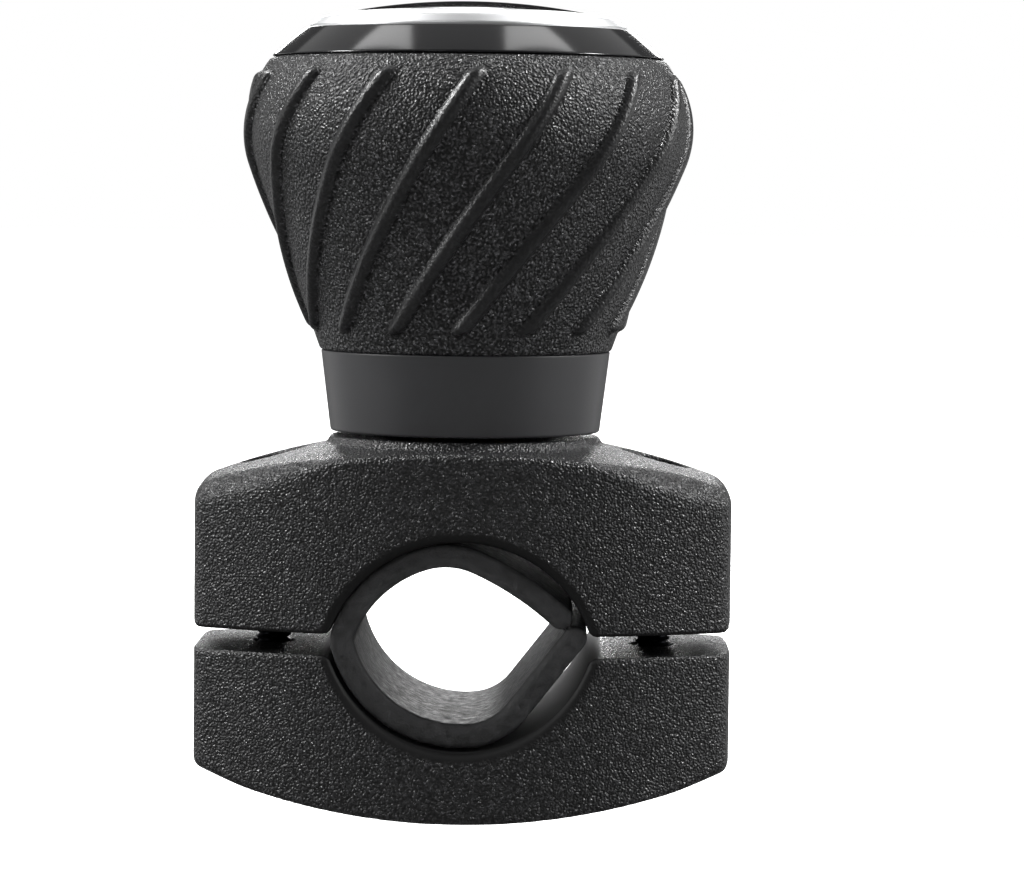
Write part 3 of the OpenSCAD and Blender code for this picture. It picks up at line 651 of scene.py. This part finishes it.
def pebbles(tree, where, size):
    """Height of a spark-eroded grain: rounded pebbles of uneven size with narrow furrows between them."""
    bend = put(tree, "ShaderNodeTexNoise", {"Vector": where, "Scale": 1 / (2.2 * size * MM), "Detail": 1.0})
    shift = put(tree, "ShaderNodeVectorMath", {0: bend.outputs["Color"], "Scale": 0.5 * size * MM}, operation="SCALE")
    bent = put(tree, "ShaderNodeVectorMath", {0: where, 1: shift.outputs[0]}, operation="ADD").outputs[0]
    cell = put(tree, "ShaderNodeTexVoronoi", {"Vector": bent, "Scale": 1 / (size * MM)}, feature="SMOOTH_F1")
    cell.inputs["Smoothness"].default_value = 0.25
    return between(tree, cell.outputs["Distance"], 1.0, 0.0, 0.1, 0.75)


def eroded(tree, where, size, share):
    """Height of a spark-eroded grain: short winding ridges, with pebbles between them by share."""
    ridge = between(tree, pattern(tree, where, size, 0.0), 0.0, 1.0, 0.3, 0.7)
    return put(tree, "ShaderNodeMix", {0: share, 2: ridge, 3: pebbles(tree, where, 1.3 * size)}).outputs[0]


def moulded_nylon():
    """Glass-filled nylon from a spark-eroded tool: dark grey-black, dull, with a winding grain that glints, its furrows
    painted as shade and its tops painted as highlight.
    """
    material, tree, shader, where = blank("jaw_nylon_moulded")
    bare = put(tree, "ShaderNodeAttribute", attribute_name="bare").outputs["Fac"]
    grain = times(tree, eroded(tree, where, 0.24, 0.5), minus(tree, 1.0, bare))
    rough = between(tree, grain, grain_dull, grain_gloss)
    grain_with_painted_light(shader, grain, depth=0.16, painted_highlight="#434345", ior=1.53, roughness=rough)
    return material


def grip_rubber():
    """Moulded thermoplastic rubber: black, with the same grain, painted with shade in its furrows and highlight on its
    tops, between smooth ribs that carry a soft shine.
    """
    material, tree, shader, where = blank("grip_rubber_moulded")
    rib = put(tree, "ShaderNodeAttribute", attribute_name="rib").outputs["Fac"]
    smooth = between(tree, rib, 0.0, 0.75, 0.04, 0.5)
    rib_grain, rib_roughness = 0.4, 0.34
    grain = put(tree, "ShaderNodeMix", {0: smooth, 2: eroded(tree, where, 0.27, 0.55), 3: rib_grain}).outputs[0]
    rough = between(tree, grain, grain_dull, grain_gloss)
    rough = put(tree, "ShaderNodeMix", {0: smooth, 2: rough, 3: rib_roughness}).outputs[0]
    grain_with_painted_light(shader, grain, depth=0.18, painted_highlight="#525254", ior=1.52, roughness=rough)
    return material


def core_plastic():
    """Satin-moulded ABS: dark grey with a broad soft highlight and a fine orange peel."""
    material, tree, shader, where = blank("core_abs_satin")
    fine = pattern(tree, where, 0.18, 2.0)
    set_shader(shader, Base_Color=linear("#29292b"), IOR=1.52, Roughness=between(tree, fine, 0.38, 0.46),
               Normal=bumped(tree, fine, 0.01, 0.35))
    return material


def gloss_plastic(name, tint, roughness):
    """Piano-black ABS from a polished tool: deep black with clean reflections and a trace of flow."""
    material, tree, shader, where = blank(name)
    flow = pattern(tree, where, 5, 1.0)
    set_shader(shader, Base_Color=linear(tint), IOR=1.53,
               Roughness=between(tree, flow, roughness, roughness + 0.03), Normal=bumped(tree, flow, 0.02, 0.08))
    return material


def plated_chrome():
    """Chrome over moulded plastic: bright and slightly soft."""
    material, tree, shader, where = blank("trim_chrome_plated")
    fine = pattern(tree, where, 3, 2.0)
    set_shader(shader, Base_Color=linear("#f2f3f4"), Metallic=1.0, Roughness=between(tree, fine, 0.34, 0.42))
    return material


def liner_rubber():
    """Compression-moulded EPDM: dull black, with a fine matt tooth and cloudy patches rubbed paler by the rim."""
    material, tree, shader, where = blank("liner_epdm_moulded")
    tooth = pattern(tree, where, 0.25, 2.0)
    cloud = between(tree, pattern(tree, where, 0.8, 4.0), 0.0, 1.0, 0.3, 0.7)
    set_shader(shader, Base_Color=two_colours(tree, cloud, "#1a1a1b", "#2c2c2d"), IOR=1.5,
               Roughness=between(tree, cloud, 0.5, 0.82), Normal=bumped(tree, tooth, 0.06))
    return material


def worked_metal(name, dark, light, roughness, pitch, depth, around=True):
    """Metal with fine tool marks: rings round the upright axis for turned work, or a cloudy skin for plating."""
    material, tree, shader, where = blank(name)
    skin = pattern(tree, where, 1.2, 3.0)
    if around:
        spot = put(tree, "ShaderNodeSeparateXYZ", {0: where})
        reach = sums(tree, "SQRT", plus(tree, times(tree, spot.outputs[0], spot.outputs[0]),
                                        times(tree, spot.outputs[1], spot.outputs[1])))
        marks = sums(tree, "SINE", times(tree, plus(tree, reach, spot.outputs[2]), 2 * pi / (pitch * MM)))
        height = between(tree, marks, 0.0, 1.0, -1.0, 1.0)
    else:
        height = pattern(tree, where, pitch, 2.0)
    set_shader(shader, Base_Color=two_colours(tree, skin, dark, light), Metallic=1.0, Normal=bumped(
        tree, height, depth, 0.5), Roughness=between(tree, skin, roughness - 0.05, roughness + 0.08))
    return material


def cage_nylon():
    """Natural nylon, moulded: milky tan, slightly waxy."""
    material, tree, shader, where = blank("cage_nylon_moulded")
    cloud = pattern(tree, where, 1.5, 2.0)
    set_shader(shader, Base_Color=two_colours(tree, cloud, "#b9a679", "#c9b88c"), IOR=1.53,
               Roughness=between(tree, cloud, 0.36, 0.46), Subsurface_Weight=0.1, Subsurface_Scale=0.4 * MM)
    return material


# ---- Pieces ----

bevel_soft, face_round, end_round, belly_round = 0.8, 0.4, 0.8, 1.0
part_round, low_part_round, end_corner, bore_round = 0.5, 0.25, 1.4, 0.8
hole_round, neck_round, neck_fillet = 0.3, 0.35, 0.5
# The grain stops short of the bore's edge, and closer to the parting edges
border_w, fade_w, face_skin = 0.95, 0.2, 0.02
upper_border_w, lower_border_w = border_w / 2, border_w / 6
jaw_cell, liner_cell, rib_columns = 0.36, 0.34, 42
rib_phase = -90 + 4.4
strip_line = liner_path()
turned_form, ribbed_form = turned_tree(), ribbed_tree()

nylon, rubber = moulded_nylon(), grip_rubber()
half_d = jaw_d / 2
mesh = moulded_mesh(upper_jaw, (-jaw_half_w, -half_d, part_z), (jaw_half_w, half_d, neck_top), jaw_cell, nylon,
                    upper_bare)
piece("upper_jaw", mesh, "base", "jaw_nylon", "clamp_upper")
mesh = moulded_mesh(lower_jaw, (-jaw_half_w, -half_d, belly_z), (jaw_half_w, half_d, -part_z), jaw_cell, nylon,
                    lower_bare)
piece("lower_jaw", mesh, "jaw", "jaw_nylon", "clamp_lower")
corner = np.array([bore_r + 1, liner_l / 2, bore_r + 1])
mesh = moulded_mesh(rim_strip, -corner, corner, liner_cell, liner_rubber())
piece("liner", mesh, "base", "liner_rubber", "rim_liner")

line, stored = grip_line()
inputs = {"Columns": rib_columns * rib_n, "Closed": 1, "Ribs": float(rib_n), "Rib Height": rib_h * MM,
          "Rib Width": rib_w * MM, "Material": rubber}
piece("grip", grown_mesh(line, ribbed_form, inputs, **stored), "knob", "grip_rubber", "grip_sleeve")


def bezel_line():
    rim_z, swell, flank_end, flank_steps = bezel_z + bezel_h, 0.06, 0.08, 11
    run = np.array([bezel_rim_r - bezel_foot_r, bezel_h])
    out = np.array([bezel_h, -run[0]]) / np.linalg.norm(run)
    flank = [(*(np.array([bezel_foot_r, bezel_z]) + run * t + out * swell * 4 * t * (1 - t)), 0)
             for t in np.linspace(flank_end, 1 - flank_end, flank_steps)]
    return guarded(rounded([
        (deck_hole_r, deck_z - deck_t, 0), (skirt_r - skirt_t, deck_z - deck_t, 0),
        (skirt_r - skirt_t, bezel_z - skirt_h, 0.2), (skirt_r, bezel_z - skirt_h, 0.3), (skirt_r, bezel_z, 0),
        (bezel_foot_r, bezel_z, 0.12), *flank, (bezel_rim_r, rim_z, 0.3), (bezel_rim_r - rim_w, rim_z, 0.1),
        (bezel_rim_r - rim_w, deck_z, 0), (deck_hole_r, deck_z, 0)], True), True)


def trim_line():
    inner_r, top_z = cap_r + seat_play, deck_z + trim_h
    return guarded(rounded([
        (inner_r, deck_z, 0), (trim_r, deck_z, 0), (trim_r, deck_z + trim_wall_h, 0.35),
        (trim_r - trim_edge, deck_z + trim_wall_h + trim_edge, 1.0), (inner_r, top_z, 0.2)], True), True)


def cap_line():
    dome_r = (cap_r ** 2 + cap_rise ** 2) / (2 * cap_rise)
    edge_z, edge_round, steps = deck_z + trim_h - cap_drop, 1.2, 48
    reach = degrees(asin(cap_r / dome_r))
    dome = arc((0, edge_z + cap_rise - dome_r), dome_r, 90, 90 - reach, steps)
    dome[0], dome[-1] = (0, dome[0][1], 0), (cap_r, edge_z, edge_round)
    dome = [p for p in dome if p[0] < cap_r - edge_round - 0.2 or p == dome[-1]]
    # Its stem clips through the deck's hole with a barb
    stem_r, inner_r, foot_z = deck_hole_r - snug, deck_hole_r - cap_stem_wall, deck_z - deck_t
    barb_out, barb_gap, barb_in, barb_l = 0.25, 0.05, 0.3, 0.8
    return guarded(rounded([*dome, (cap_r, deck_z, 0.15), (stem_r, deck_z, 0), (stem_r, foot_z, 0),
                            (deck_hole_r + barb_out, foot_z - barb_gap, 0),
                            (deck_hole_r - barb_in, foot_z - barb_l, 0), (inner_r, foot_z - barb_l, 0),
                            (inner_r, deck_z, 0), (0, deck_z, 0)], False), False)


def core_line():
    top_h, touch_h = core_top_z - grip_z, grip_touch_h(sleeve_t)
    inset = sleeve_t + shell_t
    skirt_end_h = top_h - skirt_h + lip_h
    clip_z, groove_d = high_bearing_z + bearing_w, 0.5
    groove_top_z = clip_z + clip_t + 0.1
    wall = [(grip_r(h, sleeve_t), grip_z + h, 0) for h in np.linspace(touch_h, top_h, 12)]
    hollow = [(min(grip_r(h, inset), skirt_r + hollow_step), grip_z + h, 0)
              for h in np.linspace(skirt_end_h, grip_touch_h(inset), 8)]
    return guarded(rounded([
        (core_hole_r, core_z, 0.3), (collar_foot_r, core_z, 0.3), (collar_top_r, grip_z, 0.2),
        (grip_r(0, sleeve_t), grip_z, 0), *wall, (skirt_r + snug, core_top_z, 0.2),
        (skirt_r + snug, grip_z + skirt_end_h, 0), *hollow,
        (grip_r(cavity_low_z - grip_z, inset), cavity_low_z, 0.5), (hub_r, cavity_low_z, 0.5), (hub_r, hub_top_z, 0.2),
        (well_r, hub_top_z, 0.3), (well_r, groove_top_z, 0), (well_r + groove_d, groove_top_z, 0),
        (well_r + groove_d, clip_z, 0), (well_r, clip_z, 0), (well_r, low_bearing_z, 0),
        (core_hole_r, low_bearing_z, 0.2)], True), True)


def web_mesh():
    """The webs that join the core's hub to its shell, reaching a little into both."""
    inset = sleeve_t + shell_t / 2
    bite, top_gap = 0.6, 1
    low_h, high_h = cavity_low_z - grip_z, hub_top_z - top_gap - grip_z
    outline = [(hub_r - bite, low_h - bite), (grip_r(low_h, inset), low_h - bite)]
    outline += [(min(grip_r(h, inset), skirt_r + hollow_step + bite), h) for h in np.linspace(low_h, high_h, 8)]
    outline.append((hub_r - bite, high_h))
    points, faces, n = [], [], len(outline)
    for k in range(web_n):
        turn = Matrix.Rotation(2 * pi * k / web_n, 3, "Z")
        first = len(points)
        points += [turn @ Vector((r, side * web_t / 2, grip_z + h)) for side in (-1, 1) for r, h in outline]
        faces += [[first + i for i in range(n)], [first + n + i for i in reversed(range(n))]]
        faces += [[first + i, first + n + i, first + n + (i + 1) % n, first + (i + 1) % n] for i in range(n)]
    return point_mesh(points, faces)


def joined(mesh, other):
    """Union of two closed meshes."""
    maker, tool = shown("maker", mesh), shown("tool", other)
    join = maker.modifiers.new("join", "BOOLEAN")
    join.operation, join.solver, join.object = "UNION", "EXACT", tool
    result = bpy.data.meshes.new_from_object(maker.evaluated_get(bpy.context.evaluated_depsgraph_get()))
    bpy.data.objects.remove(maker)
    bpy.data.objects.remove(tool)
    result.set_sharp_from_angle(angle=sharp_angle)
    return result


abs_satin = core_plastic()
core = joined(turned_mesh(core_line(), abs_satin, columns=144), web_mesh())
piece("core", core, "knob", "core_plastic", "knob_core")
piece("bezel_ring", turned_mesh(bezel_line(), gloss_plastic("bezel_abs_polished", "#0b0b0d", 0.1)), "knob",
      "bezel_gloss", "bezel")
piece("trim", turned_mesh(trim_line(), plated_chrome()), "knob", "trim_chrome", "trim_ring")
piece("cap", turned_mesh(cap_line(), gloss_plastic("cap_abs_polished", "#0a0a0c", 0.06), closed=False),
      "knob", "cap_gloss", "top_cap")


def socket_screw(material, d, length, head_d, head_h, key, pitch, thread_from, seat_z, edge, grooves, axis_x=0,
                 turn_over=False):
    """A hexagon socket screw. Its thread starts thread_from under the head, which is knurled."""
    wall, socket_z, point_drop = key / 2, head_h / 2, 0.5
    root_h, root_w, head_soft, mouth_w, mouth_h, row_step = 0.3, 0.2, 0.15, 0.2, 0.3, pitch / 5
    shank = [(d / 2, z) for z in np.arange(edge - length, -thread_from, row_step)]
    side = [(head_d / 2, z) for z in np.linspace(0.4, head_h - 0.5, 4)]
    points = np.array([
        (0, -length), (d / 2 - edge, -length), *shank, (d / 2, -root_h), (d / 2 + root_w, 0),
        (head_d / 2 - head_soft, 0), (head_d / 2, head_soft), *side, (head_d / 2, head_h - edge),
        (head_d / 2 - edge, head_h), (wall / cos(pi / 6) + mouth_w, head_h), (wall, head_h - mouth_h),
        (wall, socket_z), (0, socket_z - point_drop)])
    r, z = points.T
    thread = np.isclose(r, d / 2) & (z < -thread_from)
    groove = np.isclose(r, head_d / 2) & (z > 0.3) & (z < head_h - edge - 0.05)
    if turn_over:
        points = points * [1, -1]
    thread_share, knurl_depth = 0.61, 0.14
    mesh = turned_mesh(points + [0, seat_z], material, closed=False, columns=6 * grooves, pitch=pitch,
                       thread_depth=thread_share * pitch, grooves=grooves, groove_depth=knurl_depth, thread=thread,
                       groove=groove, hexagon=np.isclose(r, wall))
    mesh.transform(Matrix.Translation((axis_x * MM, 0, 0)))
    return mesh


black_steel = worked_metal("screw_steel_black_oxide", "#26272a", "#34353a", 0.38, 0.3, 0.01, around=False)
zinc_steel = worked_metal("steel_zinc_plated", "#b4b8bd", "#cfd2d6", 0.3, 0.25, 0.01, around=False)
for side, label in ((-1, "left"), (1, "right")):
    screw = socket_screw(black_steel, screw_d, screw_l, screw_head_d, screw_head_h, screw_key, pitch=0.7,
                         thread_from=3.0, seat_z=screw_seat_z, edge=0.35, grooves=24, axis_x=side * screw_x)
    piece(f"screw_{label}_threaded", screw, f"screw_{label}", "black_steel", f"clamp_screw_{label}")
bolt = socket_screw(zinc_steel, spindle_d, bolt_l, bolt_head_d, bolt_head_h, bolt_key, pitch=1.25,
                    thread_from=high_bearing_z - head_seat_z + bearing_w, seat_z=head_seat_z, edge=0.6, grooves=36,
                    turn_over=True)
piece("spindle", bolt, "base", "zinc_steel", "spindle_bolt")

finishes = {
    "zinc_steel": zinc_steel,
    "spacer_brass": worked_metal("spacer_brass_turned", "#b08d4a", "#c9a862", 0.3, 0.14, 0.006),
    "turned_aluminium": worked_metal("sleeve_aluminium_turned", "#b9bcc0", "#cbced2", 0.32, 0.16, 0.006),
    "spring_steel": worked_metal("clip_steel_phosphated", "#3a3b3f", "#4a4b4f", 0.45, 0.2, 0.01, around=False),
    "bearing_steel": worked_metal("bearing_steel_ground", "#bfc2c6", "#d5d7da", 0.18, 0.1, 0.002),
    "cage_nylon": cage_nylon()}
for part in frame["record"]["subparts"]:
    if part["material_slot"] in finishes:
        for place in frame["nodes"][part["node"]].material_slots:
            place.material = finishes[part["material_slot"]]


# ---- Floor, lamps and camera ----

def box_lamp(name, place, size, power):
    """A flat lamp, size metres wide and high, that shines at the part's middle."""
    lamp = shown(name, bpy.data.lights.new(name, "AREA"))
    lamp.data.shape, lamp.data.size, lamp.data.size_y, lamp.data.energy = "RECTANGLE", *size, power
    lamp.location = place
    lamp.rotation_euler = (Vector(part_middle) - Vector(place)).to_track_quat("-Z", "Y").to_euler()


# The world is white to the camera and through clear parts, dim to glossy surfaces, and lights the part plainly
room_level, gloss_level = 0.25, 0.12
world = bpy.data.worlds.new("studio")
scene.world = world
world.use_nodes = True
tree = world.node_tree
backdrop = tree.nodes["Background"]
backdrop.inputs["Color"].default_value = (1, 1, 1, 1)
path = put(tree, "ShaderNodeLightPath")
seen = sums(tree, "MAXIMUM", path.outputs["Is Camera Ray"], path.outputs["Is Transmission Ray"])
glossed = times(tree, path.outputs["Is Glossy Ray"], gloss_level)
unseen = times(tree, path.outputs["Is Diffuse Ray"], room_level)
tree.links.new(sums(tree, "MAXIMUM", sums(tree, "MAXIMUM", seen, glossed), unseen), backdrop.inputs["Strength"])


def rectangle(x, low, high):
    return (-x, low), (x, low), (x, high), (-x, high)


def level(corners, z):
    return [(x, y, z) for x, y in corners]


def sheet_mesh(name, corners, faces=((0, 1, 2, 3),)):
    mesh = bpy.data.meshes.new(name)
    mesh.from_pydata(corners, [], faces)
    return mesh


# The floor lies as far down as the lower jaw comes when the clamp is wide open. It is white to the camera but for
# shadows, and can be seen through from below.
floor = shown("floor", sheet_mesh("floor", level(rectangle(6, -6, 6), cad_low.z - jaw_travel * MM)))
floor_paint, tree, shader, _ = blank("floor_pale")
from_below = put(tree, "ShaderNodeNewGeometry").outputs["Backfacing"]
set_shader(shader, Base_Color=linear("#e9e9e9"), Roughness=0.9, Emission_Color=(1, 1, 1, 1),
           Emission_Strength=times(tree, put(tree, "ShaderNodeLightPath").outputs["Is Camera Ray"], 0.85),
           Alpha=minus(tree, 1.0, from_below))
floor.data.materials.append(floor_paint)
floor.visible_glossy = False


def lit_card(name, strength, *shape):
    """A card that shines on its own."""
    mesh = sheet_mesh(name, *shape)
    paper, _, shader, _ = blank(name + "_paper")
    set_shader(shader, Base_Color=(0, 0, 0, 1), Roughness=1.0, Specular_IOR_Level=0.0,
               Emission_Color=(1, 1, 1, 1), Emission_Strength=strength)
    mesh.materials.append(paper)
    return mesh


def screen_ring(turns, low, high, step=2.5, radius=1.6):
    """Corners and faces of upright screens round the set, over ranges of degrees measured from straight behind."""
    corners, faces = [], []
    for start, end in turns:
        for a in np.arange(start, end, step):
            faces.append([len(corners) + i for i in range(4)])
            corners += [(-radius * sin(t), radius * cos(t), radius * tan(b))
                        for t, b in np.radians([(a, low), (a + step, low), (a + step, high), (a, high)])]
    return corners, faces


# Only glossy surfaces see these cards. Pale screens stand behind and at the sides, and a pale sheet lies under the set.
# A dark screen straight behind keeps the cap black, and ends low enough for the trim to see over it.
dark_right, dark_left, dark_low, dark_high = -3.75, 6.25, -5, 21.2
back_turn, back_low, back_high = 8.75, 8, 20
side_start, side_turn, side_low, side_high = 30, 120, -30, 10
over_turn, over_high = 10, 34
back_turns = (-back_turn, dark_right), (dark_left, back_turn)
side_turns = (-side_turn, -side_start), (side_start, side_turn)
card_x, card_y, card_low, card_high = 0.02, 0.25, -0.015, 0.045
roof_x, roof_z, roof_front, roof_back = 1.1, 1.05, 0.04, 1.6
# The low card is bright and shows in the liner's inside, and the roof is dim and shows in the bezel
cards = [
    lit_card("back_screens", 0.9, *screen_ring(back_turns, back_low, back_high)),
    lit_card("side_screens", 0.9, *screen_ring(side_turns, side_low, side_high)),
    lit_card("over_screen", 6.5, *screen_ring([(-over_turn, over_turn)], dark_high, over_high)),
    lit_card("dark_screen", 0.018, *screen_ring([(dark_right, dark_left)], dark_low, dark_high)),
    lit_card("under_sheet", 0.2, level(rectangle(4, -4, 4), -0.35)),
    lit_card("low_card", 11.0, [(x, card_y, z) for x, z in rectangle(card_x, card_low, card_high)]),
    lit_card("roof_card", 0.55, level(rectangle(roof_x, roof_front, roof_back), roof_z))]
# Two bright panes hang under the roof, and their slanted sides show in the bezel
pane_z, pane_level = 1.0, 4.2
left_pane = (-0.265, 0.351), (-0.397, 0.51), (-0.557, 0.435), (-0.263, 0.113)
right_pane = (0.154, 0.291), (0.326, 0.453), (0.49, 0.374), (0.166, 0.077)
for name, pane in (("pane_left", left_pane), ("pane_right", right_pane)):
    cards.append(lit_card(name, pane_level, level(pane, pane_z)))
for mesh in cards:
    screen = shown(mesh.name, mesh)
    screen.visible_camera = screen.visible_diffuse = screen.visible_shadow = False

part_middle = (0, 0, 0.035)
box_lamp("lamp_left", (-0.6, -0.12, 0.34), size=(0.16, 0.3), power=2.3)
box_lamp("lamp_right", (0.62, -0.1, 0.32), size=(0.16, 0.3), power=1.9)
box_lamp("lamp_front", (-0.25, -0.7, 0.55), size=(0.16, 0.16), power=0.3)
for side, label in ((-1, "left"), (1, "right")):
    box_lamp(f"lamp_high_{label}", (side * 0.74, 0.15, 0.8), size=(0.2, 0.18), power=11.0)
    box_lamp(f"lamp_back_{label}", (side * 0.17, 1.0, 0.27), size=(0.12, 0.12), power=0.6)

# The camera's turn comes from the photo's vanishing point and horizon, in pixels, and its place from the outline
picture_w, film_w, camera_place = 1024, 36, (0.01007, -0.45, 0.05005)
focal, middle_x, middle_y, axis_px, horizon_px = 4036.0, 512.0, 438.5, 555.0, 185.0
yaw = atan((axis_px - middle_x) / focal)
pitch = atan((middle_y - horizon_px) / focal)
roll = radians(0.6)
ahead = Vector((-sin(yaw) * cos(pitch), cos(yaw) * cos(pitch), -sin(pitch)))
right = Vector((cos(yaw), sin(yaw), 0))
up = right.cross(ahead)
turned_right = right * cos(roll) + up * sin(roll)
turned_up = up * cos(roll) - right * sin(roll)
camera = shown("camera", bpy.data.cameras.new("camera"))
camera.data.sensor_width = film_w
camera.data.lens = focal / picture_w * film_w
camera.matrix_world = (Matrix.Translation(camera_place)
                       @ Matrix((turned_right, turned_up, -ahead)).transposed().to_4x4())
scene.camera = camera
scene.view_settings.view_transform = "Standard"
